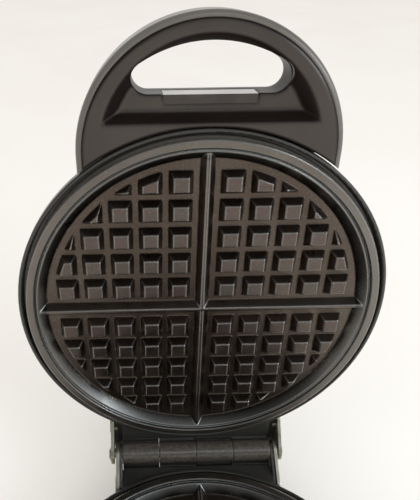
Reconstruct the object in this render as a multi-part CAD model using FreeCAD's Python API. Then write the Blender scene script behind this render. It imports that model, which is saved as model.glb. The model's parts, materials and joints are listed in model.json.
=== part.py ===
import FreeCAD, Part
import math
import os

from FreeCAD import Vector

# Round waffle maker with its lid standing open. Each half is drawn in its own frame:
# u across, v from the hinge towards the handle, w out of the cooking plate,
# with w = 0 on the plate's floor and u = v = 0 at the plate's centre.

# Cooking plate
stud_pitch = 15.0
stud_inset = 12.7
stud_base = 12.0
stud_top = 7.5
stud_height = 5.2
studs_per_side = 5
stud_field_radius = 81.3
stud_root = 0.5
stud_rounding = 0.5
smallest_stud_volume = 12.0
ridge_height = 4.3
ridge_base = 7.6
ridge_top = 1.5
ridge_rounding = 0.4
floor_radius = 85.0
floor_rounding = 1.0
slope_run = 4.0
lip_height = 5.0
lip_rounding = 0.4
lip_width = 1.1
groove_width = 0.9
groove_level = 4.3
land_height = 6.2
land_width = 4.2
land_edge_draft = 0.7
land_rounding = 0.6
plate_thickness = 3.0
flange_level = 1.0
flange_thickness = 2.0
post_circle_radius = 62.0
post_radius = 5.0
post_length = 13.0
post_angles = (90, 210, 330)

# Hinge
lid_open_angle = 95.0
land_gap = 0.4
hinge_distance = 110.3
hinge_width = 95.0
knuckle_count = 4
knuckle_gap = 0.4
knuckle_radius = 6.5
pin_radius = 3.0
pin_head_radius = 4.4
pin_head_thickness = 0.8
pin_tail = 1.3
washer_thickness = 0.6
running_clearance = 0.05
stop_gap = 0.3
heel_length = 13.0
hinge_plate_thickness = 2.0
hinge_plate_radius = 6.5
hinge_plate_ring_gap = 0.8
hinge_plate_drop = 11.0
base_pad_thickness = 1.8
pad_setback = 3.0
cheek_margin = 1.5
ear_reach = 7.0
ear_rounding = 3.0
hinge_plate_gap = 1.2
rivet_radius = 1.6
rivet_head_radius = 2.9
rivet_head_thickness = 0.6
rivet_spacing = 7.0
rivet_depth = 2.0

# Housings
housing_depth = 36.0
wall = 2.5
bowl_floor_radius = 80.0
bowl_corner_radius = 16.0
ring_width = 2.3
ring_level = 4.0
ring_thickness = 6.0
ring_rounding = 0.9
plate_side_gap = 1.6
seat_width = 5.7
seat_thickness = 3.0
crown_radius = 66.0
crown_height = 3.0
tower_clearance = 0.8
tower_top = 1.5
tower_roof = 6.0
lid_tower_depth = 15.0
tower_corner_radius = 3.0
boss_wall = 1.3

# Handle loops
handle_radius = 62.4
handle_centre = 86.2
handle_face_level = 5.0
handle_thickness = 22.0
handle_back_rounding = 5.0
handle_band_drop = 0.6
handle_band_width = 3.0
handle_band_rounding = 2.6
handle_gap = 0.8
handle_face_thickness = 3.0
cover_fit = 0.15
recess_margin = 10.6
recess_rise = 1.9
recess_bottom = 102.2
recess_depth = 6.5
recess_bottom_slope = 3.8
recess_side_slope = 5.8
recess_edge_rounding = 1.0
recess_floor_rounding = 2.5
opening_top_margin = 3.3
opening_end_margin = 16.0
opening_ledge = 11.6
opening_corner = 7.5
opening_wall = 2.2
root_half_width = 52.0
root_fit = 0.15
root_bolt_offset = 28.0
root_bolt_level = -11.0
grip_bolt_margin = 5.2
grip_bolt_drop = 1.8
wire_hole_radius = 3.0

# Screws
screw_radius = 2.0
screw_head_radius = 3.8
screw_head_height = 2.6
screw_hole_gap = 0.05
screw_head_gap = 0.3
screw_grip = 6.0

# Indicator lens and lamps
lens_half_length = 21.5
lens_thickness = 2.0
lens_flange = 4.2
lens_flange_thickness = 0.8
lens_depth = 10.0
lens_fit = 0.1
lamp_radius = 2.6
lamp_length = 12.0
lamp_spacing = 18.0
lamp_setback = 3.3
lamp_holder_wall = 1.6
lamp_depth_share = 0.6

# Heating element, clamps and heat shield
element_circle_radius = 50.0
element_radius = 3.3
element_gap = 0.1
element_half_gap_angle = 40.0
element_leg = 22.0
element_pin_radius = 1.5
element_pin_length = 9.0
clamp_angles = (0, 50, 130, 180)
clamp_width = 10.0
clamp_thickness = 1.0
clamp_fit = 0.35
clamp_foot = 7.5
stake_radius = 1.5
stake_clearance = 0.1
shield_radius = 76.0
shield_thickness = 0.8
shield_rim_height = 8.0

# Thermostat, thermal fuse, mains terminals and feet
thermostat_centre = (0.0, -12.0)
thermostat_radius = 8.0
thermostat_height = 8.5
thermostat_flange = 28.0
thermostat_flange_thickness = 1.0
thermostat_tab = (6.3, 0.8, 5.0)
fuse_centre = (0.0, 18.0)
fuse_radius = 2.2
fuse_length = 15.0
fuse_lead_radius = 0.6
fuse_lead_length = 10.0
fuse_clip_width = 6.0
terminal_block_size = (34.0, 14.0, 15.0)
terminal_block_offset = -18.0
terminal_rear_gap = 3.0
terminal_hole_radius = 2.6
terminal_count = 3
gland_offset = 24.0
gland_level = -22.0
gland_bore_radius = 3.8
gland_body_radius = 6.5
gland_flange_radius = 8.5
gland_flange_thickness = 2.0
foot_radius = 8.0
foot_height = 5.0
foot_plug_radius = 5.0
foot_plug_fit = 0.1
front_foot = (42.0, 45.0)
rear_foot = (34.0, -91.0)

# Row origin: under the middle of the open outline, this far behind the plate's centre
origin_setback = 10.0

# How far cutting bodies run past a face, and joined bodies into each other,
# and the distance below which two places count as one
over = 1.0
same_place = 1e-6

# Places worked out from the sizes above
lip_inner_radius = floor_radius + slope_run
lip_outer_radius = lip_inner_radius + lip_width
land_inner_radius = lip_outer_radius + groove_width
land_outer_radius = land_inner_radius + land_width
plate_radius = land_outer_radius + land_edge_draft
flange_bottom = flange_level - flange_thickness
seat_radius = plate_radius + plate_side_gap
ring_radius = seat_radius + ring_width
mouth_radius = plate_radius - seat_width
parting = land_height + land_gap / 2
tower_rear = -(hinge_distance - knuckle_radius - tower_clearance)
tower_half_width = hinge_width / 2
post_end = -plate_thickness - post_length
boss_top = post_end - shield_thickness
element_level = -plate_thickness - element_gap - element_radius
handle_back = handle_face_level - handle_thickness
handle_band = handle_face_level - handle_band_drop
handle_clear_radius = ring_radius + handle_gap
recess_floor = handle_face_level - recess_depth
recess_radius = handle_radius - recess_margin
recess_centre = handle_centre + recess_rise
opening_half_width = recess_radius - opening_end_margin
opening_top = recess_centre + recess_radius - opening_top_margin
opening_bottom = recess_bottom + opening_ledge
grip_bolt_offset = opening_half_width + grip_bolt_margin
grip_bolt_height = opening_bottom - grip_bolt_drop
grip_floor = handle_back + wall
root_top = recess_floor - wall - 2 * cover_fit
bowl_wall_top = ring_level - ring_thickness
bowl_top_radius = ring_radius - ring_width + ring_rounding
base_plate_inner = tower_half_width + base_pad_thickness
hinge_plate_far = -math.sqrt(ring_radius ** 2 - base_plate_inner ** 2) - hinge_plate_ring_gap
hinge_plate_reach = hinge_distance + hinge_plate_far - hinge_plate_radius
lid_pad_thickness = base_pad_thickness + hinge_plate_thickness + hinge_plate_gap
lid_plate_inner = tower_half_width + lid_pad_thickness
knuckle_row_half = tower_half_width - knuckle_gap / 2
pad_top = tower_top - pad_setback
pad_bottom = parting - hinge_plate_drop - hinge_plate_radius
heel_start = parting - tower_top
pin_half_length = lid_plate_inner + hinge_plate_thickness + running_clearance
screw_hole = screw_radius + screw_hole_gap
head_hole = screw_head_radius + screw_head_gap
plate_level = foot_height + housing_depth
parting_level = plate_level + parting


def rounded_wire(corners, to_space):
    """Closed outline of straight sides; each corner is (x, y, rounding)."""
    points = [Vector(x, y, 0) for x, y, rounding in corners]
    starts, ends, middles = [], [], []
    for index, corner in enumerate(points):
        rounding = corners[index][2]
        back = (points[index - 1] - corner).normalize()
        ahead = (points[(index + 1) % len(points)] - corner).normalize()
        if rounding == 0:
            starts.append(corner)
            ends.append(corner)
            middles.append(None)
            continue
        half = back.getAngle(ahead) / 2
        reach = rounding / math.tan(half)
        inward = (back + ahead).normalize()
        starts.append(corner + back * reach)
        ends.append(corner + ahead * reach)
        middles.append(corner + inward * (rounding / math.sin(half) - rounding))
    edges = []
    for index in range(len(points)):
        if middles[index] is not None:
            arc = Part.Arc(to_space(starts[index]), to_space(middles[index]), to_space(ends[index]))
            edges.append(arc.toShape())
        following = starts[(index + 1) % len(points)]
        if (following - ends[index]).Length > same_place:
            edges.append(Part.LineSegment(to_space(ends[index]), to_space(following)).toShape())
    return Part.Wire(edges)


def plan(point):
    return Vector(point.x, point.y, 0)


def section(point):
    return Vector(point.x, 0, point.y)


def side(point):
    return Vector(0, point.x, point.y)


def revolved(corners):
    """Solid of revolution from an outline of (radius, level, rounding)."""
    face = Part.Face(rounded_wire(corners, section))
    return face.revolve(Vector(0, 0, 0), Vector(0, 0, 1), 360)


def raised(wire, low, high):
    """Prism from an outline in the plan, between two levels."""
    face = Part.Face(wire)
    face.translate(Vector(0, 0, low))
    return face.extrude(Vector(0, 0, high - low))


def across(corners, start, end):
    """Prism along u from an outline of (v, w, rounding)."""
    face = Part.Face(rounded_wire(corners, side))
    face.translate(Vector(start, 0, 0))
    return face.extrude(Vector(end - start, 0, 0))


def block(u, v, w):
    """Box between pairs of limits."""
    corner = Vector(u[0], v[0], w[0])
    return Part.makeBox(u[1] - u[0], v[1] - v[0], w[1] - w[0], corner)


def upright(radius, low, high, centre=(0.0, 0.0)):
    return Part.makeCylinder(radius, high - low, Vector(centre[0], centre[1], low))


def along_u(radius, start, end, v, w):
    return Part.makeCylinder(radius, end - start, Vector(start, v, w), Vector(1, 0, 0))


def along_v(radius, start, end, u, w):
    return Part.makeCylinder(radius, end - start, Vector(u, start, w), Vector(0, 1, 0))


def joined(first, others):
    return first.fuse(others).removeSplitter()


def polar(radius, angle):
    turn = math.radians(angle)
    return (radius * math.cos(turn), radius * math.sin(turn))


def turned(shape, angle):
    copy = shape.copy()
    copy.rotate(Vector(0, 0, 0), Vector(0, 0, 1), angle)
    return copy


def stud(u, v):
    """Tapered square stud, rooted a little below the floor, trimmed to the round field."""
    draft = (stud_base - stud_top) / 2 / stud_height
    low = stud_base / 2 + stud_root * draft
    top = stud_top / 2
    shape = Part.makeWedge(-low, -stud_root, -low, -top, -top, low, stud_height, low, top, top)
    shape.rotate(Vector(0, 0, 0), Vector(1, 0, 0), 90)
    shape.translate(Vector(u, v, 0))
    if math.hypot(u + stud_base / 2, v + stud_base / 2) < stud_field_radius:
        return shape
    foot = stud_field_radius + stud_root * draft
    crest = stud_field_radius - stud_height * draft
    field = Part.makeCone(foot, crest, stud_height + stud_root, Vector(0, 0, -stud_root))
    return shape.common(field)


def rounded_stud(shape):
    edges = [edge for edge in shape.Edges if edge.BoundBox.ZMax > 0]
    return shape.makeFillet(stud_rounding, edges)


def quarter_studs():
    places = [stud_inset + stud_pitch * index for index in range(studs_per_side)]
    studs = [stud(u, v) for u in places for v in places]
    return [rounded_stud(shape) for shape in studs if shape.Volume > smallest_stud_volume]


def ridge():
    """Ridge across the whole plate, with its ends in the sloping wall."""
    flare = (ridge_base - ridge_top) / 2 / ridge_height
    low = ridge_base / 2 + stud_root * flare
    reach = lip_inner_radius + lip_width / 3
    outline = [
        (-low, -stud_root, 0),
        (low, -stud_root, 0),
        (ridge_top / 2, ridge_height, ridge_rounding),
        (-ridge_top / 2, ridge_height, ridge_rounding),
    ]
    return across(outline, -reach, reach)


def stake_places():
    """Pins cast on the plate's back for the clamps, thermostat and fuse clip."""
    arm = element_radius + clamp_fit + clamp_thickness + clamp_foot / 2
    places = []
    for angle in clamp_angles:
        places.append(polar(element_circle_radius - arm, angle))
        places.append(polar(element_circle_radius + arm, angle))
    return places


def control_stakes():
    u, v = thermostat_centre
    reach = thermostat_flange / 2 - 2 * stake_radius
    arm = fuse_radius + clamp_fit + clamp_thickness + clamp_foot / 2
    places = [(u - reach, v), (u + reach, v)]
    places += [(fuse_centre[0], fuse_centre[1] - arm), (fuse_centre[0], fuse_centre[1] + arm)]
    return places


def cooking_plate(stakes):
    groove_taper = groove_width / 4
    body = revolved([
        (0, 0, 0),
        (floor_radius, 0, floor_rounding),
        (lip_inner_radius, lip_height, lip_rounding),
        (lip_outer_radius, lip_height, lip_rounding),
        (lip_outer_radius + groove_taper, groove_level, 0),
        (land_inner_radius - groove_taper, groove_level, 0),
        (land_inner_radius, land_height, land_rounding),
        (land_outer_radius, land_height, land_rounding),
        (plate_radius, flange_level, 0),
        (plate_radius, flange_bottom, 0),
        (land_inner_radius + plate_thickness / 2, flange_bottom, 0),
        (land_inner_radius, groove_level - plate_thickness / 2, 0),
        (lip_inner_radius, groove_level - plate_thickness / 2, 0),
        (floor_radius + slope_run / 4, -plate_thickness, 0),
        (0, -plate_thickness, 0),
    ])
    studs = quarter_studs()
    raised_pieces = [ridge(), turned(ridge(), 90)]
    for quarter in range(4):
        raised_pieces += [turned(shape, 90 * quarter) for shape in studs]
    back_pieces = []
    for angle in post_angles:
        centre = polar(post_circle_radius, angle)
        back_pieces.append(upright(post_radius, post_end, -plate_thickness + over, centre))
    stake_end = -plate_thickness - clamp_thickness - stake_radius
    for centre in stakes:
        back_pieces.append(upright(stake_radius, stake_end, -plate_thickness + over, centre))
    plate = body.fuse(raised_pieces + back_pieces)
    for angle in post_angles:
        centre = polar(post_circle_radius, angle)
        plate = plate.cut(upright(screw_hole, post_end - over, -plate_thickness, centre))
    return plate


def plate_screws():
    """Screws from the housing's back, through the heat shield, into the plate's posts."""
    seat = -housing_depth + boss_seat_depth()
    screws = []
    for angle in post_angles:
        centre = polar(post_circle_radius, angle)
        head = upright(screw_head_radius, seat - screw_head_height, seat, centre)
        shank = upright(screw_radius, seat, post_end + screw_grip, centre)
        screws.append(head.fuse(shank))
    return Part.makeCompound(screws)


def boss_seat_depth():
    return (housing_depth + boss_top) / 2


def heating_element():
    """Tubular horseshoe whose two ends come in towards the hinge."""
    start = -90 + element_half_gap_angle
    first = Vector(*polar(element_circle_radius, start), element_level)
    last = Vector(-first.x, first.y, element_level)
    top = Vector(0, element_circle_radius, element_level)
    heading = Vector(*polar(1, start - 90), 0)
    first_end = first + heading * element_leg
    last_end = Vector(-first_end.x, first_end.y, element_level)
    path = Part.Wire([
        Part.LineSegment(first_end, first).toShape(),
        Part.Arc(first, top, last).toShape(),
        Part.LineSegment(last, last_end).toShape(),
    ])
    ring = Part.Wire([Part.makeCircle(element_radius, first_end, heading)])
    tube = path.makePipeShell([ring], True, False)
    pins = []
    for end, mirror in ((first_end, 1), (last_end, -1)):
        aim = Vector(heading.x * mirror, heading.y, 0)
        pins.append(Part.makeCylinder(element_pin_radius, element_pin_length + over, end - aim * over, aim))
    return tube.fuse(pins)


def saddle(radius, width):
    """Strap with two flat feet that holds a round piece to the plate's back; drawn across u."""
    inner = radius + clamp_fit
    outer = inner + clamp_thickness
    centre = -plate_thickness - element_gap - radius
    foot_end = outer + clamp_foot
    under = -plate_thickness - clamp_thickness
    hoop = along_v(outer, -width / 2, width / 2, 0, centre)
    sides = block((-outer, outer), (-width / 2, width / 2), (centre, -plate_thickness))
    feet = block((-foot_end, foot_end), (-width / 2, width / 2), (under, -plate_thickness))
    strap = hoop.fuse([sides, feet])
    strap = strap.cut(along_v(inner, -width, width, 0, centre))
    strap = strap.cut(block((-inner, inner), (-width, width), (centre, 0)))
    levels = (centre - 2 * outer, -plate_thickness)
    strap = strap.common(block((-foot_end, foot_end), (-width, width), levels))
    hole_at = outer + clamp_foot / 2
    for place in (-hole_at, hole_at):
        strap = strap.cut(upright(stake_radius + stake_clearance, under - over, 0, (place, 0)))
    return strap


def element_clamps():
    clamps = []
    for angle in clamp_angles:
        clamp = saddle(element_radius, clamp_width)
        clamp.translate(Vector(element_circle_radius, 0, 0))
        clamps.append(turned(clamp, angle))
    return Part.makeCompound(clamps)


def heat_shield():
    """Shallow sheet dish held between the plate's posts and the housing's bosses."""
    inside = shield_radius - shield_thickness
    dish = revolved([
        (0, boss_top, 0),
        (shield_radius, boss_top, 0),
        (shield_radius, boss_top + shield_rim_height, 0),
        (inside, boss_top + shield_rim_height, 0),
        (inside, boss_top + shield_thickness, 0),
        (0, boss_top + shield_thickness, 0),
    ])
    for angle in post_angles:
        centre = polar(post_circle_radius, angle)
        dish = dish.cut(upright(screw_hole, boss_top - over, boss_top + 2 * over, centre))
    return dish


def bowl_outer(extra=0.0):
    """Housing's outer form below the rim ring, filled."""
    return revolved([
        (0, -housing_depth, 0),
        (bowl_floor_radius + extra, -housing_depth, bowl_corner_radius),
        (bowl_top_radius + extra, bowl_wall_top + over, 0),
        (0, bowl_wall_top + over, 0),
    ])


def bowl_inner():
    top = flange_bottom - seat_thickness
    return revolved([
        (0, -housing_depth + wall, 0),
        (bowl_floor_radius - wall, -housing_depth + wall, bowl_corner_radius - wall),
        (bowl_top_radius - 2 * wall, top, 0),
        (0, top, 0),
    ])


def rim_ring():
    return revolved([
        (0, bowl_wall_top, 0),
        (ring_radius, bowl_wall_top, ring_rounding),
        (ring_radius, ring_level, ring_rounding),
        (0, ring_level, 0),
    ])


def plate_opening():
    """Space for the plate inside the rim ring, flared so that the ring's inner edge is round."""
    return revolved([
        (0, flange_bottom, 0),
        (seat_radius, flange_bottom, 0),
        (seat_radius, ring_level, ring_rounding),
        (ring_radius + over, ring_level, 0),
        (ring_radius + over, ring_level + over, 0),
        (0, ring_level + over, 0),
    ])


def tower_plan():
    """Rear block's outline, from its rear wall to well inside the bowl."""
    root = -bowl_floor_radius / 2
    return rounded_wire([
        (tower_half_width, tower_rear, tower_corner_radius),
        (tower_half_width, root, 0),
        (-tower_half_width, root, 0),
        (-tower_half_width, tower_rear, tower_corner_radius),
    ], plan)


def knuckle_spans():
    """Every second knuckle belongs to one half."""
    pitch = 2 * knuckle_row_half / knuckle_count
    spans = []
    for index in range(1, knuckle_count, 2):
        start = -knuckle_row_half + index * pitch
        spans.append((start + knuckle_gap / 2, start + pitch - knuckle_gap / 2))
    return spans


def stop_line(distance):
    """Point on the heel's stop face, which meets the other half's rear wall when the lid is fully open."""
    turn = math.radians(lid_open_angle)
    away = knuckle_radius + tower_clearance - stop_gap
    back = -away * math.cos(turn) + distance * math.sin(turn)
    up = away * math.sin(turn) + distance * math.cos(turn)
    return (-hinge_distance - back, parting + up, 0)


def knuckles():
    """Barrels with their gussets and the heels that stop the lid."""
    pieces = []
    heel_front = stop_line(heel_start)
    for start, end in knuckle_spans():
        pieces.append(along_u(knuckle_radius, start, end, -hinge_distance, parting))
        web = [
            (tower_rear + over, tower_top - knuckle_radius, 0),
            (tower_rear + over, tower_top - 2 * knuckle_radius, 0),
            (-hinge_distance - heel_length, parting - knuckle_radius / 2, 0),
            stop_line(heel_length),
            heel_front,
            (heel_front[0], parting, 0),
            (-hinge_distance, parting, 0),
        ]
        pieces.append(across(web, start, end))
    return pieces


def pin_bore(start, end):
    return along_u(pin_radius + running_clearance, start, end, -hinge_distance, parting)


def hinge_plate_end():
    return (-hinge_distance + hinge_plate_reach, parting - hinge_plate_drop)


def rivet_places():
    """Rivet centres on a hinge plate, along its length, as (v, w)."""
    v, w = hinge_plate_end()
    length = math.hypot(hinge_plate_reach, hinge_plate_drop)
    step = rivet_spacing / 2 / length
    first = (v - hinge_plate_reach * step, w + hinge_plate_drop * step)
    second = (v + hinge_plate_reach * step / 4, w - hinge_plate_drop * step / 4)
    return [first, second]


def base_cheeks():
    """Walls beside the knuckle row that back the base's hinge plates as far as the pin."""
    cheek = hinge_link(hinge_plate_radius - cheek_margin, tower_half_width, base_plate_inner)
    return both_sides(cheek).Solids


def lid_ears():
    """Ends of the lid's pads that back its hinge plates past the pin, clear of the base's links."""
    rear = -hinge_distance - ear_reach
    ear = across([
        (rear, pad_bottom, ear_rounding),
        (hinge_plate_far, pad_bottom, 0),
        (hinge_plate_far, pad_top, 0),
        (rear, pad_top, ear_rounding),
    ], tower_half_width, lid_plate_inner)
    return both_sides(ear).Solids


def housing(tower_bottom, pad_thickness, hinge_walls):
    """Bowl with rim ring, rear block, knuckles, screw bosses and pads for the hinge plates."""
    tower = raised(tower_plan(), tower_bottom, tower_top)
    pad_half_width = tower_half_width + pad_thickness
    pads = block(
        (-pad_half_width, pad_half_width),
        (tower_rear + over, hinge_plate_far),
        (pad_bottom, pad_top),
    )
    shell = bowl_outer().fuse([rim_ring(), tower, pads] + knuckles() + hinge_walls)
    cavity_top = tower_top - tower_roof
    cavity = block(
        (-tower_half_width + wall, tower_half_width - wall),
        (tower_rear + wall, -bowl_floor_radius + 4 * wall),
        (tower_bottom + wall, cavity_top),
    )
    shell = shell.cut(bowl_inner().fuse(cavity))
    shell = shell.cut(plate_opening())
    shell = shell.cut(upright(mouth_radius, flange_bottom - 2 * seat_thickness, flange_bottom + over))
    shell = with_screw_bosses(shell)
    shell = shell.cut(pin_bore(-hinge_width, hinge_width))
    for place in rivet_places():
        for sign in (-1, 1):
            face = sign * pad_half_width
            inward = face - sign * rivet_depth
            low, high = min(face, inward), max(face, inward)
            shell = shell.cut(along_u(rivet_radius + screw_hole_gap, low, high, *place))
    return shell


def with_screw_bosses(shell):
    boss_radius = head_hole + boss_wall
    seat = -housing_depth + boss_seat_depth()
    for angle in post_angles:
        centre = polar(post_circle_radius, angle)
        shell = shell.fuse(upright(boss_radius, -housing_depth + wall / 2, boss_top, centre))
    limit = bowl_outer()
    for sign in (-1, 1):
        place = sign * root_bolt_offset
        boss = along_v(boss_radius, root_bolt_seat(), ring_radius, place, root_bolt_level)
        shell = shell.fuse(boss.common(limit))
    for angle in post_angles:
        centre = polar(post_circle_radius, angle)
        shell = shell.cut(upright(screw_hole, -housing_depth - over, boss_top + over, centre))
        shell = shell.cut(upright(head_hole, -housing_depth - over, seat, centre))
    for sign in (-1, 1):
        place = sign * root_bolt_offset
        shell = shell.cut(along_v(screw_hole, root_bolt_seat() - over, ring_radius, place, root_bolt_level))
    passage = along_v(wire_hole_radius, mouth_radius - 3 * wall, ring_radius, 0, root_bolt_level)
    return shell.cut(passage)


def root_bolt_seat():
    """Where the handle screws' heads bear, clear of the bowl's inner wall."""
    floor, top = -housing_depth + wall, flange_bottom - seat_thickness
    floor_radius_inside = bowl_floor_radius - wall
    top_radius_inside = bowl_top_radius - 2 * wall
    share = (root_bolt_level - head_hole - floor) / (top - floor)
    radius = floor_radius_inside + share * (top_radius_inside - floor_radius_inside)
    reach = root_bolt_offset + head_hole
    return math.sqrt(radius ** 2 - reach ** 2) - screw_head_gap


def base_housing():
    shell = housing(-housing_depth, base_pad_thickness, base_cheeks())
    inside = tower_rear + wall + over
    shell = shell.cut(along_v(gland_body_radius, tower_rear - over, inside, gland_offset, gland_level))
    plug_end = -housing_depth + wall / 2
    for centre in foot_places():
        shell = shell.cut(upright(foot_plug_radius, -housing_depth - over, plug_end, centre))
    return shell


def lid_housing():
    shell = housing(-lid_tower_depth, lid_pad_thickness, lid_ears())
    sphere_radius = (crown_radius ** 2 + crown_height ** 2) / 2 / crown_height
    low = -housing_depth - crown_height
    crown = Part.makeSphere(sphere_radius, Vector(0, 0, low + sphere_radius))
    crown = crown.common(upright(crown_radius, low - over, -housing_depth + wall / 2))
    for angle in post_angles:
        centre = polar(post_circle_radius, angle)
        crown = crown.cut(upright(head_hole, low - over, 0, centre))
    return shell.fuse(crown)


def arch_wire(radius, bottom):
    """Handle outline: half round on straight sides."""
    left = Vector(-radius, handle_centre, 0)
    right = Vector(radius, handle_centre, 0)
    top = Vector(0, handle_centre + radius, 0)
    low_left = Vector(-radius, bottom, 0)
    low_right = Vector(radius, bottom, 0)
    return Part.Wire([
        Part.LineSegment(low_right, right).toShape(),
        Part.Arc(right, top, left).toShape(),
        Part.LineSegment(left, low_left).toShape(),
        Part.LineSegment(low_left, low_right).toShape(),
    ])


def opening_wire(grow):
    """Finger opening: arched top, straight bottom, round corners, grown all round."""
    corner = opening_corner + grow
    top = opening_top + grow
    bottom = opening_bottom - grow
    centre_u = opening_half_width - opening_corner
    rise = top - bottom - corner
    arch = (centre_u ** 2 + rise ** 2 - corner ** 2) / 2 / (rise - corner)
    arch_centre = Vector(0, top - arch, 0)
    corner_centre = Vector(centre_u, bottom + corner, 0)
    outward = (corner_centre - arch_centre).normalize()
    meet = arch_centre + outward * arch
    mid = corner_centre + (outward + Vector(0, -1, 0)).normalize() * corner
    foot = Vector(centre_u, bottom, 0)

    def mirrored(point):
        return Vector(-point.x, point.y, 0)

    return Part.Wire([
        Part.Arc(foot, mid, meet).toShape(),
        Part.Arc(meet, Vector(0, top, 0), mirrored(meet)).toShape(),
        Part.Arc(mirrored(meet), mirrored(mid), mirrored(foot)).toShape(),
        Part.LineSegment(mirrored(foot), foot).toShape(),
    ])


def recess_wire(depth, grow=0.0):
    """Outline of the recess in the handle's face at a depth below it."""
    share = depth / recess_depth
    radius = recess_radius - recess_side_slope * share + grow
    bottom = recess_bottom + recess_bottom_slope * share - grow
    half = math.sqrt(radius ** 2 - (bottom - recess_centre) ** 2)
    level = handle_face_level - depth
    left = Vector(-half, bottom, level)
    right = Vector(half, bottom, level)
    top = Vector(0, recess_centre + radius, level)
    arc = Part.Arc(right, top, left).toShape()
    return Part.Wire([arc, Part.LineSegment(left, right).toShape()])


def recess(grow, low_depth):
    """Tapered solid of the recess, from above the face to a depth."""
    return Part.makeLoft([recess_wire(low_depth, grow), recess_wire(-over, grow)], True, True)


def rounded_recess():
    """Recess with a rounded floor edge."""
    shape = recess(0.0, recess_depth)
    floor_edges = [edge for edge in shape.Edges if lies_level(edge, recess_floor)]
    return shape.makeFillet(recess_floor_rounding, floor_edges)


def lies_level(edge, level):
    box = edge.BoundBox
    return box.ZLength < same_place and abs(box.ZMin - level) < same_place


def handle_outer():
    """Back half of the loop: a tray with the band round the face, and the root that seats on the bowl."""
    low = handle_centre - handle_radius / 2
    body = raised(arch_wire(handle_radius, low), handle_back, handle_band)
    body = body.makeFillet(handle_back_rounding, arch_edges(body, handle_back))
    body = body.makeFillet(handle_band_rounding, arch_edges(body, handle_band))
    clear = upright(handle_clear_radius, handle_back - over, handle_face_level + over)
    body = body.cut(clear)
    inner = handle_radius - handle_band_width
    pocket = raised(arch_wire(inner, low), grip_floor, handle_band + over)
    pocket = pocket.cut(upright(handle_clear_radius + wall, handle_back, handle_face_level + over))
    body = body.cut(pocket)
    under_cover = handle_face_level - handle_face_thickness - cover_fit
    body = body.cut(raised(arch_wire(inner, low), under_cover, handle_band + over))
    root_end = handle_clear_radius + wall / 2
    root_reach = (handle_centre - 4 * wall, root_end)
    root = block((-root_half_width, root_half_width), root_reach, (handle_back, root_top))
    body = body.fuse(root.common(raised(arch_wire(inner, low), handle_back, root_top)))
    body = body.cut(bowl_outer(root_fit))
    body = body.cut(recess(wall + cover_fit, recess_depth + wall + cover_fit))
    for sign in (-1, 1):
        boss_at = (sign * grip_bolt_offset, grip_bolt_height)
        body = body.cut(upright(screw_hole, handle_back - over, grip_floor + over, boss_at))
        body = body.cut(upright(head_hole, handle_back - over, handle_back + wall / 2, boss_at))
        bolt = along_v(screw_hole, 0, root_bolt_end(), sign * root_bolt_offset, root_bolt_level)
        body = body.cut(bolt)
    body = body.cut(along_v(wire_hole_radius, 0, root_end + over, 0, root_bolt_level))
    return body.cut(raised(opening_wire(opening_wall + cover_fit), handle_back - over, handle_face_level))


def arch_edges(body, level):
    """Edges of the handle's outline at a level, without the straight bottom."""
    edges = [edge for edge in body.Edges if lies_level(edge, level)]
    return [edge for edge in edges if edge.BoundBox.YMax > handle_centre - same_place]


def root_bolt_end():
    """Far end of the handle screws' holes, well inside the handle's root."""
    return math.sqrt(handle_clear_radius ** 2 - root_bolt_offset ** 2) + screw_grip


def handle_cover():
    """Front half of the loop: the face with its recess, and the sleeve that lines the finger opening."""
    low = handle_centre - handle_radius / 2
    inner = handle_radius - handle_band_width - cover_fit
    under = handle_face_level - handle_face_thickness
    face = raised(arch_wire(inner, low), under, handle_face_level)
    skin = recess(wall, recess_depth + wall)
    below = block((-handle_radius, handle_radius), (0, 2 * handle_centre), (-housing_depth, under))
    skin = skin.common(below)
    sleeve = raised(opening_wire(opening_wall), handle_back, recess_floor)
    bosses = []
    for sign in (-1, 1):
        boss_at = (sign * grip_bolt_offset, grip_bolt_height)
        boss_low = grip_floor + cover_fit
        bosses.append(upright(screw_radius + boss_wall, boss_low, recess_floor - wall / 2, boss_at))
    cover = face.fuse([skin, sleeve] + bosses)
    cover = cover.cut(upright(handle_clear_radius, -housing_depth, handle_face_level + over))
    cover = cover.cut(rounded_recess())
    rim = [edge for edge in cover.Edges if on_recess_rim(edge)]
    cover = cover.makeFillet(recess_edge_rounding, rim)
    cover = cover.cut(raised(opening_wire(0.0), handle_back - over, handle_face_level + over))
    for sign in (-1, 1):
        boss_at = (sign * grip_bolt_offset, grip_bolt_height)
        cover = cover.cut(upright(screw_hole, handle_back, recess_floor - wall / 2, boss_at))
    return cover


def on_recess_rim(edge):
    """Edges round the recess in the face, which lie inside the face's own outline."""
    if not lies_level(edge, handle_face_level):
        return False
    points = [vertex.Point for vertex in edge.Vertexes]
    return max(math.hypot(point.x, point.y - recess_centre) for point in points) < recess_radius + over


def lens_profile(grow):
    """Lens outline across its length: a web in the sleeve's lower wall and a flange on the recess floor."""
    front = opening_bottom + grow
    back = opening_bottom - lens_thickness - grow
    flange_end = opening_bottom - lens_flange - grow
    under = recess_floor - lens_flange_thickness - grow
    return [
        (front, recess_floor + grow, 0),
        (front, recess_floor - lens_depth - grow, 0),
        (back, recess_floor - lens_depth - grow, 0),
        (back, under, 0),
        (flange_end, under, 0),
        (flange_end, recess_floor + grow, 0),
    ]


def lid_handle_cover():
    window = across(lens_profile(lens_fit), -lens_half_length - lens_fit, lens_half_length + lens_fit)
    return handle_cover().cut(window)


def indicator_lens():
    return across(lens_profile(0.0), -lens_half_length, lens_half_length)


def lamp_line():
    """Lamps' centre line as (v, w), in front of the lens's window."""
    return (opening_bottom - opening_wall - lamp_setback, recess_floor - lens_depth * lamp_depth_share)


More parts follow.
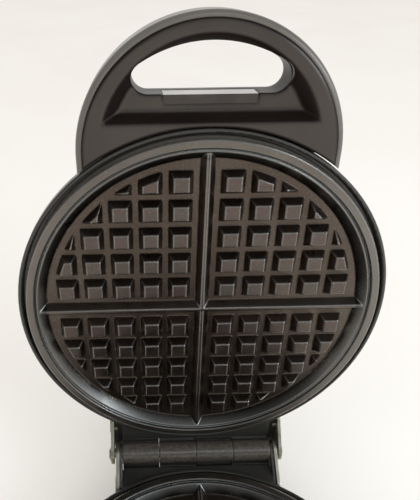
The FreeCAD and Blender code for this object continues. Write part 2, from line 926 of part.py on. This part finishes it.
def indicator_lamps():
    v, w = lamp_line()
    lamps = []
    for sign in (-1, 1):
        middle = sign * lamp_spacing / 2
        body = along_u(lamp_radius, middle - lamp_length / 2, middle + lamp_length / 2 - lamp_radius, v, w)
        tip = Part.makeSphere(lamp_radius, Vector(middle + lamp_length / 2 - lamp_radius, v, w))
        lamps.append(body.fuse(tip))
    return Part.makeCompound(lamps)


def lamp_holder():
    """Rail on the handle's floor with a cradle for each lamp."""
    v, w = lamp_line()
    half = (lamp_spacing + lamp_length) / 2
    rail = block((-half, half), (v - lamp_radius - lamp_holder_wall, v + lamp_radius), (grip_floor, w))
    return rail.cut(along_u(lamp_radius + lens_fit, -half - over, half + over, v, w))


def grip_screws():
    screws = []
    for sign in (-1, 1):
        centre = (sign * grip_bolt_offset, grip_bolt_height)
        seat = handle_back + wall / 2
        head = upright(screw_head_radius, seat - screw_head_height / 2, seat, centre)
        shank = upright(screw_radius, seat, recess_floor - wall, centre)
        screws.append(head.fuse(shank))
    return Part.makeCompound(screws)


def handle_screws():
    screws = []
    seat = root_bolt_seat()
    for sign in (-1, 1):
        place = sign * root_bolt_offset
        head = along_v(screw_head_radius, seat - screw_head_height, seat, place, root_bolt_level)
        shank = along_v(screw_radius, seat, root_bolt_end() - over, place, root_bolt_level)
        screws.append(head.fuse(shank))
    return Part.makeCompound(screws)


def hinge_link(radius, inner, outer):
    """Flat link with round ends, from the pin to the rivets."""
    end_v, end_w = hinge_plate_end()
    pin_end = along_u(radius, inner, outer, -hinge_distance, parting)
    wall_end = along_u(radius, inner, outer, end_v, end_w)
    length = math.hypot(hinge_plate_reach, hinge_plate_drop)
    off_v = radius * hinge_plate_drop / length
    off_w = radius * hinge_plate_reach / length
    strip = across([
        (-hinge_distance - off_v, parting - off_w, 0),
        (end_v - off_v, end_w - off_w, 0),
        (end_v + off_v, end_w + off_w, 0),
        (-hinge_distance + off_v, parting + off_w, 0),
    ], inner, outer)
    return joined(pin_end, [wall_end, strip])


def hinge_plate(inner):
    """Flat steel link on one side: from the pin to its rivets on the housing's pad."""
    outer = inner + hinge_plate_thickness
    link = hinge_link(hinge_plate_radius, inner, outer)
    link = link.cut(pin_bore(inner - over, outer + over))
    for place in rivet_places():
        link = link.cut(along_u(rivet_radius + screw_hole_gap, inner - over, outer + over, *place))
    return link


def both_sides(shape):
    return Part.makeCompound([shape, shape.mirror(Vector(0, 0, 0), Vector(1, 0, 0))])


def hinge_plates(inner):
    return both_sides(hinge_plate(inner))


def rivets(inner):
    """Two rivets through each hinge plate into its pad."""
    outer = inner + hinge_plate_thickness
    pieces = []
    for place in rivet_places():
        shank = along_u(rivet_radius, inner - rivet_depth, outer, *place)
        head = along_u(rivet_head_radius, outer, outer + rivet_head_thickness, *place)
        rivet = shank.fuse(head)
        pieces += [rivet, rivet.mirror(Vector(0, 0, 0), Vector(1, 0, 0))]
    return Part.makeCompound(pieces)


def hinge_pin():
    """Headed pin through all four knuckles and the four hinge plates."""
    shank = along_u(pin_radius, -pin_half_length, pin_half_length + pin_tail, -hinge_distance, parting)
    head_start = -pin_half_length - pin_head_thickness
    head = along_u(pin_head_radius, head_start, -pin_half_length, -hinge_distance, parting)
    return shank.fuse(head)


def pin_washer():
    start = pin_half_length + running_clearance
    end = start + washer_thickness
    washer = along_u(pin_head_radius, start, end, -hinge_distance, parting)
    return washer.cut(pin_bore(start - over, end + over))


def thermostat():
    """Round bimetal switch with a flange on two stakes and two tabs."""
    u, v = thermostat_centre
    top = -plate_thickness
    flange_low = top - thermostat_flange_thickness
    bottom = top - thermostat_height
    reach = thermostat_flange / 2
    body = upright(thermostat_radius, bottom, top, thermostat_centre)
    half = thermostat_radius / 2
    flange = block((u - reach, u + reach), (v - half, v + half), (flange_low, top))
    tab_width, tab_thickness, tab_length = thermostat_tab
    pieces = [flange]
    for sign in (-1, 1):
        centre = v + sign * half
        limits = (centre - tab_thickness / 2, centre + tab_thickness / 2)
        levels = (bottom - tab_length / 2, bottom + over)
        pieces.append(block((u - tab_width / 2, u + tab_width / 2), limits, levels))
    switch = body.fuse(pieces)
    for sign in (-1, 1):
        hole = (u + sign * (reach - 2 * stake_radius), v)
        switch = switch.cut(upright(stake_radius + stake_clearance, flange_low - over, top + over, hole))
    return switch


def thermal_fuse():
    u, v = fuse_centre
    level = -plate_thickness - element_gap - fuse_radius
    half = fuse_length / 2
    body = along_u(fuse_radius, u - half, u + half, v, level)
    lead = along_u(fuse_lead_radius, u - half - fuse_lead_length, u + half + fuse_lead_length, v, level)
    return body.fuse(lead)


def fuse_clip():
    clip = turned(saddle(fuse_radius, fuse_clip_width), 90)
    clip.translate(Vector(fuse_centre[0], fuse_centre[1], 0))
    return clip


def terminal_block():
    """Ceramic mains terminal block on the rear block's floor."""
    length, width, height = terminal_block_size
    floor = -housing_depth + wall
    rear = tower_rear + wall + terminal_rear_gap
    start = terminal_block_offset - length / 2
    body = block((start, start + length), (rear, rear + width), (floor, floor + height))
    step = length / terminal_count
    for index in range(terminal_count):
        place = start + step * (index + 0.5)
        level = floor + height / 3
        body = body.cut(along_v(terminal_hole_radius, rear - over, rear + width + over, place, level))
        screw_at = (place, rear + width / 2)
        body = body.cut(upright(terminal_hole_radius, level, floor + height + over, screw_at))
    return body


def cord_gland():
    """Round bush in the rear wall for the mains lead."""
    outside = tower_rear - gland_flange_thickness
    inside = tower_rear + wall + gland_flange_thickness
    body = along_v(gland_body_radius - foot_plug_fit, outside, inside, gland_offset, gland_level)
    flange = along_v(gland_flange_radius, outside, tower_rear, gland_offset, gland_level)
    bush = body.fuse(flange)
    return bush.cut(along_v(gland_bore_radius, outside - over, inside + over, gland_offset, gland_level))


def foot_places():
    return [(sign * u, v) for u, v in (front_foot, rear_foot) for sign in (-1, 1)]


def rubber_feet():
    feet = []
    taper = foot_radius - foot_height / 4
    for centre in foot_places():
        low = Vector(centre[0], centre[1], -housing_depth - foot_height)
        pad = Part.makeCone(taper, foot_radius, foot_height, low)
        plug_end = -housing_depth + wall / 2
        plug = upright(foot_plug_radius - foot_plug_fit, -housing_depth - over, plug_end, centre)
        feet.append(pad.fuse(plug))
    return Part.makeCompound(feet)


def on_base(shape):
    """Lower half: handle to the front, plate facing up."""
    placed = shape.copy()
    placed.rotate(Vector(0, 0, 0), Vector(0, 0, 1), 180)
    placed.translate(Vector(0, -origin_setback, plate_level))
    return placed


def on_lid(shape):
    """Upper half: laid face down on the base, then swung open about the hinge pin."""
    placed = shape.copy()
    placed.rotate(Vector(0, 0, 0), Vector(1, 0, 0), 180)
    placed.translate(Vector(0, -origin_setback, parting_level + parting))
    hinge = Vector(0, hinge_distance - origin_setback, parting_level)
    placed.rotate(hinge, Vector(1, 0, 0), -lid_open_angle)
    return placed


def main():
    lower_stakes = stake_places() + control_stakes()
    base_nodes = {
        "base_housing": base_housing(),
        "base_handle": handle_outer(),
        "base_handle_cover": handle_cover(),
        "base_handle_screws": handle_screws(),
        "base_grip_screws": grip_screws(),
        "lower_cooking_plate": cooking_plate(lower_stakes),
        "lower_plate_screws": plate_screws(),
        "lower_heating_element": heating_element(),
        "lower_element_clamps": element_clamps(),
        "lower_heat_shield": heat_shield(),
        "thermostat": thermostat(),
        "thermal_fuse": thermal_fuse(),
        "fuse_clip": fuse_clip(),
        "terminal_block": terminal_block(),
        "cord_gland": cord_gland(),
        "rubber_feet": rubber_feet(),
        "base_hinge_plates": hinge_plates(base_plate_inner),
        "base_hinge_rivets": rivets(base_plate_inner),
        "hinge_pin": hinge_pin(),
        "hinge_pin_washer": pin_washer(),
    }
    lid_nodes = {
        "lid_housing": lid_housing(),
        "lid_handle": handle_outer(),
        "lid_handle_cover": lid_handle_cover(),
        "lid_handle_screws": handle_screws(),
        "lid_grip_screws": grip_screws(),
        "indicator_lens": indicator_lens(),
        "indicator_lamps": indicator_lamps(),
        "lamp_holder": lamp_holder(),
        "upper_cooking_plate": cooking_plate(stake_places()),
        "upper_plate_screws": plate_screws(),
        "upper_heating_element": heating_element(),
        "upper_element_clamps": element_clamps(),
        "upper_heat_shield": heat_shield(),
        "lid_hinge_plates": hinge_plates(lid_plate_inner),
        "lid_hinge_rivets": rivets(lid_plate_inner),
    }
    os.makedirs("parts", exist_ok=True)
    for name, shape in base_nodes.items():
        on_base(shape).exportStep(f"parts/{name}.step")
    for name, shape in lid_nodes.items():
        on_lid(shape).exportStep(f"parts/{name}.step")


main()
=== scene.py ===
import json
import math

import bpy
from mathutils import Matrix, Vector

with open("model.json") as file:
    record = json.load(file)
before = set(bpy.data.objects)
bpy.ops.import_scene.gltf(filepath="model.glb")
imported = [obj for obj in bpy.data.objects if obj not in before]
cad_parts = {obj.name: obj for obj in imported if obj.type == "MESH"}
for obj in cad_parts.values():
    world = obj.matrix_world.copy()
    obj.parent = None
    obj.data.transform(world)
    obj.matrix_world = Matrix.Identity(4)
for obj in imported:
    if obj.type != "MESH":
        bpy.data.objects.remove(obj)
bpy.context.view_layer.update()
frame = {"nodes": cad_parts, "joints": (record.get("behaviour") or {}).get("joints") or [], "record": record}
nodes = frame["nodes"]

# Hinge line, and the middle of each cooking plate's floor with the way it faces
joint = frame["joints"][0]
hinge = Vector(joint["pos_m"])
floor_to_hinge = 0.0064
plate_setback = -0.010
opening = Matrix.Rotation(math.radians(-joint["range_deg"][1]), 4, "X")
straight_up = Vector((0.0, 0.0, 1.0))
lower_outward = straight_up
lower_floor = Vector((0.0, plate_setback, hinge.z - floor_to_hinge))
upper_outward = opening @ -lower_outward
upper_floor = hinge + opening @ (Vector((0.0, plate_setback, hinge.z + floor_to_hinge)) - hinge)

# Height above a plate's floor over which the coat turns from the grid's tone to the studs'
stud_rise = (0.0008, 0.0040)

# Distances from a plate's middle over which its finish changes
slope_foot = (0.0848, 0.0853)
slope_rise = (0.0855, 0.0893)
groove_edge = (0.0901, 0.0903)
rim_edge = (0.0909, 0.0912)
outer_wall = (0.0953, 0.0957)

# Distance from the hinge line over which the knuckles' paler skin ends; it is part wear and part painted
# highlight
knuckle_skin = (0.0066, 0.0070)

# Radii of edges that are rounded in the shading, and of the hinge plates' rounding
moulded_edge = 0.0009
recess_edge = 0.003
cast_edge = 0.0012
sheet_edge = 0.0003

# Light from all round, what shiny surfaces see overhead, and the camera's backdrop
daylight = (1.0, 0.985, 0.96)
dark_overhead = (0.11, 0.115, 0.115)
backdrop_tone = (0.86, 0.83, 0.785)

# Upward part of a direction over which overhead begins, and what pointing behind the lid takes off it
overhead_span = (0.06, 0.34)
behind_takes_off = 0.8

# Point just in front of the upper plate, where the lights are aimed
light_target = Vector((0.0, 0.1, 0.12))

# The photo's camera, fitted to stud corners, the hinge line and the lower plate's rim
camera_place = (-0.03238, -0.09656, 0.33501)
camera_turn_deg = (56.514, 0.438, -1.422)
camera_lens_mm = 35.82
camera_shift = 0.12


# Nodes that materials and the world share

def map_range(tree, value, low, high, start, end):
    """Maps a value that runs from start to end to one that runs from low to high."""
    node = tree.nodes.new("ShaderNodeMapRange")
    node.inputs["From Min"].default_value = start
    node.inputs["From Max"].default_value = end
    node.inputs["To Min"].default_value = low
    node.inputs["To Max"].default_value = high
    tree.links.new(value, node.inputs["Value"])
    return node.outputs["Result"]


def mix_colours(tree, share, first, second):
    """Colour between first and second; each is a colour or a node's output."""
    node = tree.nodes.new("ShaderNodeMix")
    node.data_type = "RGBA"
    for socket, colour in ((node.inputs[6], first), (node.inputs[7], second)):
        if isinstance(colour, tuple):
            socket.default_value = (*colour, 1.0)
        else:
            tree.links.new(colour, socket)
    tree.links.new(share, node.inputs[0])
    return node.outputs[2]


# Materials

class Surface:
    """One node material with a Principled shader and a few helpers to feed it."""

    def __init__(self, name):
        self.material = bpy.data.materials.new(name)
        self.material.use_nodes = True
        self.tree = self.material.node_tree
        self.shader = self.tree.nodes["Principled BSDF"]
        coordinates = self.tree.nodes.new("ShaderNodeTexCoord")
        self.place = coordinates.outputs["Object"]
        self.facing = coordinates.outputs["Normal"]

    def link(self, output, socket):
        self.tree.links.new(output, socket)
        return self

    def set(self, **values):
        for key, value in values.items():
            self.shader.inputs[key.replace("_", " ")].default_value = value
        return self

    def colour(self, output):
        return self.link(output, self.shader.inputs["Base Color"])

    def roughness(self, output):
        return self.link(output, self.shader.inputs["Roughness"])

    def noise(self, scale, detail, stretch=None):
        node = self.tree.nodes.new("ShaderNodeTexNoise")
        node.inputs["Scale"].default_value = scale
        node.inputs["Detail"].default_value = detail
        place = self.place
        if stretch:
            mapping = self.tree.nodes.new("ShaderNodeMapping")
            mapping.inputs["Scale"].default_value = stretch
            self.link(place, mapping.inputs["Vector"])
            place = mapping.outputs["Vector"]
        self.link(place, node.inputs["Vector"])
        return node.outputs["Fac"]

    def wander(self, scale, detail, low=0.0, high=1.0, start=0.35, end=0.65, stretch=None):
        """Noise, its values from start to end mapped to low and high."""
        return map_range(self.tree, self.noise(scale, detail, stretch), low, high, start, end)

    def past(self, value, span):
        """Rises from 0 to 1 as the value goes through the span."""
        return map_range(self.tree, value, 0.0, 1.0, *span)

    def vector_math(self, operation, vector, other, output="Value"):
        """One vector operation; the other vector is a constant or a node's output."""
        node = self.tree.nodes.new("ShaderNodeVectorMath")
        node.operation = operation
        self.link(vector, node.inputs[0])
        if isinstance(other, bpy.types.NodeSocket):
            self.link(other, node.inputs[1])
        else:
            node.inputs[1].default_value = other
        return node.outputs[output]

    def distance(self, centre):
        return self.vector_math("DISTANCE", self.place, centre)

    def distance_to_line(self, point):
        """Distance to a line along X through the point."""
        flattened = self.vector_math("MULTIPLY", self.place, (0.0, 1.0, 1.0), "Vector")
        return self.vector_math("DISTANCE", flattened, (0.0, point.y, point.z))

    def height(self, foot, outward):
        """How far a place stands out from the plane through foot."""
        offset = self.vector_math("SUBTRACT", self.place, foot, "Vector")
        return self.vector_math("DOT_PRODUCT", offset, outward)

    def soft_normal(self, radius):
        """Normal of the surface with its edges rounded."""
        bevel = self.tree.nodes.new("ShaderNodeBevel")
        bevel.samples = 8
        bevel.inputs["Radius"].default_value = radius
        return bevel.outputs["Normal"]

    def edges(self, soft):
        """Rises to 1 where the rounded normal leaves the face's own."""
        geometry = self.tree.nodes.new("ShaderNodeNewGeometry")
        agreement = self.vector_math("DOT_PRODUCT", soft, geometry.outputs["Normal"])
        return map_range(self.tree, agreement, low=1.0, high=0.0, start=0.94, end=0.995)

    def own_frame(self, soft):
        """A rounded normal in the piece's own frame, which is the same in every pose."""
        node = self.tree.nodes.new("ShaderNodeVectorTransform")
        node.vector_type = "NORMAL"
        node.convert_from = "WORLD"
        node.convert_to = "OBJECT"
        self.link(soft, node.inputs["Vector"])
        return node.outputs["Vector"]

    def along(self, facing, direction, low, high, start, end):
        """Goes from low to high as the facing turns towards the direction."""
        agreement = self.vector_math("DOT_PRODUCT", facing, direction)
        return map_range(self.tree, agreement, low, high, start, end)

    def times(self, first, second):
        node = self.tree.nodes.new("ShaderNodeMath")
        node.operation = "MULTIPLY"
        self.link(first, node.inputs[0])
        self.link(second, node.inputs[1])
        return node.outputs["Value"]

    def blend(self, share, first, second):
        return mix_colours(self.tree, share, first, second)

    def grain(self, scale, detail, depth, strength, soft=None):
        """Fine bumps, laid over a soft normal where one is given."""
        node = self.tree.nodes.new("ShaderNodeBump")
        node.inputs["Distance"].default_value = depth
        node.inputs["Strength"].default_value = strength
        self.link(self.noise(scale, detail), node.inputs["Height"])
        if soft is not None:
            self.link(soft, node.inputs["Normal"])
        return self.link(node.outputs["Normal"], self.shader.inputs["Normal"])


def plastic_colour(s, dark, pale, dusty):
    """Faint smudges and settled dust."""
    smudge = s.wander(14.0, 4.0)
    dust = s.wander(900.0, 2.0, high=0.25, start=0.60, end=0.75)
    return s.blend(dust, s.blend(smudge, dark, pale), dusty)


def satin(s, soft, gloss, tint, share=None):
    """Satin sheen, times a share where one is given, with a fine spark-eroded grain."""
    sheen = s.wander(22.0, 3.0, low=0.78 * gloss, high=gloss)
    if share is not None:
        sheen = s.times(sheen, share)
    s.link(sheen, s.shader.inputs["Specular IOR Level"])
    s.set(Specular_Tint=(*tint, 1.0))
    s.roughness(s.wander(40.0, 5.0, low=0.26, high=0.36))
    return s.grain(2600.0, 2.0, depth=0.00004, strength=0.5, soft=soft)


def handle_cover_plastic(name, front):
    """The loops' inner halves, their sheen full on the flat front and turned down in the recess as painted
    shade.
    """
    s = Surface(name)
    s.colour(plastic_colour(s, (0.008, 0.006, 0.005), (0.013, 0.009, 0.008), (0.030, 0.026, 0.022)))
    soft = s.soft_normal(recess_edge)
    # Painted shade: sheen falls off as the surface turns from the front, darkening the recess.
    sheen_shade_share = s.along(s.own_frame(soft), front, low=0.15, high=1.0, start=0.78, end=0.99)
    return satin(s, soft, gloss=1.0, tint=(1.0, 0.90, 0.82), share=sheen_shade_share)


def painted_light_shell_plastic():
    """The loops' outer shells, painted paler than their near-black plastic as painted light for the bright
    band.
    """
    s = Surface("painted_light_shell_plastic")
    # Painted light: the shell is painted paler than its near-black plastic, for the light that falls on the
    # band.
    s.colour(plastic_colour(s, (0.092, 0.083, 0.074), (0.120, 0.110, 0.099), (0.150, 0.139, 0.126)))
    return satin(s, s.soft_normal(moulded_edge), gloss=0.8, tint=(1.0, 0.92, 0.85))


def housing_plastic():
    """Near-black housings, paler grey on the knuckles, part wear from rubbing and part painted highlight."""
    s = Surface("housing_plastic")
    body = plastic_colour(s, (0.011, 0.011, 0.010), (0.016, 0.016, 0.014), (0.032, 0.031, 0.028))
    # Painted highlight: the knuckles are painted paler, part wear from rubbing and part the highlight their
    # round skin catches.
    rubbed_and_highlit = s.blend(s.wander(600.0, 3.0), (0.034, 0.029, 0.024), (0.072, 0.063, 0.055))
    s.colour(s.blend(s.past(s.distance_to_line(hinge), knuckle_skin), rubbed_and_highlit, body))
    return satin(s, s.soft_normal(moulded_edge), gloss=0.9, tint=(1.0, 0.97, 0.93))


def coat_colour(s, from_middle, raised):
    """Brown grid and studs, a slope that is dark at its foot, a groove painted dark as shade, and a paler
    rim that is painted light on the outer wall.
    """
    stain = s.wander(22.0, 5.0)
    grid = s.blend(stain, (0.086, 0.066, 0.053), (0.106, 0.086, 0.071))
    stud = s.blend(s.wander(80.0, 2.0), (0.118, 0.089, 0.079), (0.108, 0.093, 0.080))
    slope = s.blend(s.past(from_middle, slope_rise), (0.022, 0.020, 0.018), (0.165, 0.158, 0.148))
    # Painted shade: the groove between lip and land is painted dark for the shadow band along it.
    groove_shade = (0.040, 0.035, 0.030)
    # Paler rim beyond the groove; on the outer wall, made hardly metallic below, this pale colour is painted
    # light.
    rim = s.blend(stain, (0.145, 0.130, 0.115), (0.180, 0.165, 0.149))
    coat = s.blend(s.past(from_middle, slope_foot), s.blend(raised, grid, stud), slope)
    coat = s.blend(s.past(from_middle, groove_edge), coat, groove_shade)
    return s.blend(s.past(from_middle, rim_edge), coat, rim)


def coated_aluminium(name, foot, outward):
    """Dark non-stick coating with pale flecks and raised edges painted pale, part wear and part painted
    highlight; hardly metallic on the outer wall, where the pale rim shows as painted light.
    """
    s = Surface(name)
    from_middle = s.distance(foot)
    raised = s.past(s.height(foot, outward), stud_rise)
    fleck = s.wander(1500.0, 1.0, high=0.4, start=0.58, end=0.72)
    flecked = s.blend(fleck, coat_colour(s, from_middle, raised), (0.24, 0.22, 0.20))
    soft = s.soft_normal(cast_edge)
    # Painted highlight: raised edges are painted pale, part wear from rubbing and part the highlight a
    # rounded edge catches.
    rubbed_and_highlit = s.times(s.edges(soft), raised)
    s.colour(s.blend(rubbed_and_highlit, flecked, (0.42, 0.43, 0.42)))
    # Painted light: the outer wall is hardly metallic, so the pale rim colour shows lit there in place of
    # the reflections a rounded edge would catch.
    metallic = map_range(s.tree, from_middle, 1.0, 0.1, *outer_wall)
    s.link(metallic, s.shader.inputs["Metallic"])
    s.roughness(s.wander(60.0, 5.0, low=0.26, high=0.36))
    return s.grain(1700.0, 3.0, depth=0.00008, strength=0.6, soft=soft)


def plated_steel():
    """Yellowish zinc plating, a little tarnished."""
    s = Surface("plated_steel")
    s.colour(s.blend(s.wander(160.0, 5.0), (0.36, 0.335, 0.25), (0.52, 0.50, 0.42)))
    s.set(Metallic=1.0)
    s.roughness(s.wander(300.0, 3.0, low=0.34, high=0.48))
    return s.grain(900.0, 2.0, depth=0.00005, strength=0.5)


def fastener_steel():
    s = Surface("fastener_steel")
    s.colour(s.blend(s.wander(240.0, 4.0), (0.50, 0.49, 0.46), (0.66, 0.65, 0.62)))
    s.set(Metallic=1.0)
    return s.roughness(s.wander(500.0, 2.0, low=0.26, high=0.44))


def element_steel():
    """Tube darkened by heat."""
    s = Surface("element_steel")
    s.colour(s.blend(s.wander(60.0, 4.0), (0.20, 0.17, 0.15), (0.30, 0.28, 0.27)))
    s.set(Metallic=1.0)
    return s.roughness(s.wander(400.0, 2.0, low=0.40, high=0.58))


def sheet_aluminium():
    """Bare sheet, its roughness in fine streaks along X."""
    s = Surface("sheet_aluminium")
    s.colour(s.blend(s.wander(30.0, 4.0), (0.70, 0.69, 0.66), (0.80, 0.80, 0.79)))
    s.set(Metallic=1.0)
    return s.roughness(s.wander(200.0, 2.0, low=0.28, high=0.46, stretch=(1.0, 12.0, 1.0)))


def smoked_lens():
    """Dark smoked plastic, painted pale where the strip faces up into the finger opening, as painted light
    and reflection on that top face.
    """
    s = Surface("smoked_lens")
    haze = s.wander(80.0, 3.0)
    smoked = s.blend(haze, (0.030, 0.024, 0.022), (0.046, 0.036, 0.032))
    # Painted reflection: the up-facing top is painted pale in place of the light it reflects from above.
    painted_pale_top = s.blend(haze, (0.48, 0.46, 0.43), (0.58, 0.56, 0.53))
    upward = s.along(s.facing, straight_up, low=0.0, high=1.0, start=0.80, end=0.95)
    s.colour(s.blend(upward, smoked, painted_pale_top))
    return s.roughness(s.wander(120.0, 3.0, low=0.06, high=0.14))


def lamp_glass():
    s = Surface("lamp_glass")
    s.colour(s.blend(s.wander(300.0, 3.0), (0.95, 0.55, 0.30), (0.80, 0.62, 0.45)))
    s.set(Transmission_Weight=0.7)
    return s.roughness(s.wander(500.0, 2.0, low=0.05, high=0.15))


def dark_phenolic():
    s = Surface("dark_phenolic")
    s.colour(s.blend(s.wander(180.0, 4.0), (0.035, 0.025, 0.020), (0.055, 0.042, 0.034)))
    return s.roughness(s.wander(300.0, 2.0, low=0.42, high=0.58))


def pale_ceramic():
    s = Surface("pale_ceramic")
    s.colour(s.blend(s.wander(140.0, 4.0), (0.74, 0.71, 0.64), (0.82, 0.80, 0.75)))
    return s.roughness(s.wander(300.0, 2.0, low=0.45, high=0.60))


def black_rubber():
    """Matt rubber with a little dust."""
    s = Surface("black_rubber")
    s.colour(s.blend(s.wander(260.0, 5.0), (0.014, 0.014, 0.014), (0.030, 0.029, 0.027)))
    s.roughness(s.wander(400.0, 2.0, low=0.60, high=0.78))
    return s.grain(1800.0, 2.0, depth=0.00008, strength=0.6)


def pale_floor():
    s = Surface("pale_floor")
    s.colour(s.blend(s.wander(3.0, 4.0), (0.89, 0.86, 0.82), (0.91, 0.885, 0.85)))
    return s.roughness(s.wander(25.0, 3.0, low=0.62, high=0.75))


finishes = {
    "housing_plastic": housing_plastic(),
    "hinge_steel": plated_steel(),
    "fastener_steel": fastener_steel(),
    "element_steel": element_steel(),
    "shield_aluminium": sheet_aluminium(),
    "lens_plastic": smoked_lens(),
    "lamp_glass": lamp_glass(),
    "control_plastic": dark_phenolic(),
    "terminal_plastic": pale_ceramic(),
    "black_rubber": black_rubber(),
}
shell = painted_light_shell_plastic()
own_finish = {
    "base_handle": shell,
    "lid_handle": shell,
    "base_handle_cover": handle_cover_plastic("lower_handle_cover", lower_outward),
    "lid_handle_cover": handle_cover_plastic("upper_handle_cover", upper_outward),
    "lower_cooking_plate": coated_aluminium("lower_coating", lower_floor, lower_outward),
    "upper_cooking_plate": coated_aluminium("upper_coating", upper_floor, upper_outward),
}
for entry in frame["record"]["subparts"]:
    name = entry["node"]
    finish = own_finish.get(name) or finishes[entry["material_slot"]]
    mesh = nodes[name].data
    mesh.materials.clear()
    mesh.materials.append(finish.material)


# Rounded edges of the hinge plates

def rounded(node, width):
    """Welds split points, joins flat faces and then bevels the sharp edges."""
    modifiers = nodes[node].modifiers
    weld = modifiers.new("weld", "WELD")
    weld.merge_threshold = 0.000002
    flat = modifiers.new("flat_faces", "DECIMATE")
    flat.decimate_type = "DISSOLVE"
    flat.angle_limit = math.radians(0.5)
    bevel = modifiers.new("rounding", "BEVEL")
    bevel.width = width
    bevel.segments = 2
    bevel.limit_method = "ANGLE"
    bevel.angle_limit = math.radians(32.0)


for node in ("base_hinge_plates", "lid_hinge_plates"):
    rounded(node, sheet_edge)


# Stage, light and camera

bpy.ops.mesh.primitive_plane_add(size=14.0, location=(0.0, 2.0, 0.0))
floor = bpy.context.object
floor.name = "floor"
floor.data.materials.append(pale_floor().material)


def overhead(tree):
    """Rises from 0 to 1 as a direction turns upwards, later where it points behind the lid."""
    place = tree.nodes.new("ShaderNodeTexCoord")
    split = tree.nodes.new("ShaderNodeSeparateXYZ")
    tree.links.new(place.outputs["Generated"], split.inputs["Vector"])
    behind = map_range(tree, split.outputs["Y"], 0.0, behind_takes_off, 0.0, 1.0)
    above = tree.nodes.new("ShaderNodeMath")
    above.operation = "SUBTRACT"
    tree.links.new(split.outputs["Z"], above.inputs[0])
    tree.links.new(behind, above.inputs[1])
    return map_range(tree, above.outputs["Value"], 0.0, 1.0, *overhead_span)


def world_light():
    """Even pale light; shiny surfaces see it fade to dark overhead, and the camera sees a backdrop."""
    world = bpy.data.worlds.new("studio")
    bpy.context.scene.world = world
    world.use_nodes = True
    tree = world.node_tree
    ray = tree.nodes.new("ShaderNodeLightPath")
    reflected = mix_colours(tree, overhead(tree), daylight, dark_overhead)
    light = mix_colours(tree, ray.outputs["Is Glossy Ray"], daylight, reflected)
    shown = mix_colours(tree, ray.outputs["Is Camera Ray"], light, backdrop_tone)
    tree.links.new(shown, tree.nodes["Background"].inputs["Color"])


def softbox(name, place, width, height, watts, colour):
    light = bpy.data.lights.new(name, "AREA")
    light.shape = "RECTANGLE"
    light.size = width
    light.size_y = height
    light.energy = watts
    light.color = colour
    lamp = bpy.data.objects.new(name, light)
    bpy.context.scene.collection.objects.link(lamp)
    lamp.location = place
    aim = light_target - Vector(place)
    lamp.rotation_euler = aim.to_track_quat("-Z", "Y").to_euler()


def photo_camera():
    data = bpy.data.cameras.new("camera")
    data.sensor_width = 36.0
    data.lens = camera_lens_mm
    data.shift_x = camera_shift
    data.clip_start = 0.01
    data.clip_end = 50.0
    camera = bpy.data.objects.new("camera", data)
    bpy.context.scene.collection.objects.link(camera)
    camera.location = camera_place
    camera.rotation_euler = [math.radians(turn) for turn in camera_turn_deg]
    bpy.context.scene.camera = camera


world_light()
softbox("window", (1.14, -0.64, 0.75), width=0.85, height=0.42, watts=8.0, colour=(0.80, 0.91, 1.0))
softbox("front", (0.18, -0.98, 1.20), width=0.8, height=0.4, watts=2.0, colour=(0.88, 0.95, 1.0))
photo_camera()

bpy.context.scene.view_settings.view_transform = "Standard"
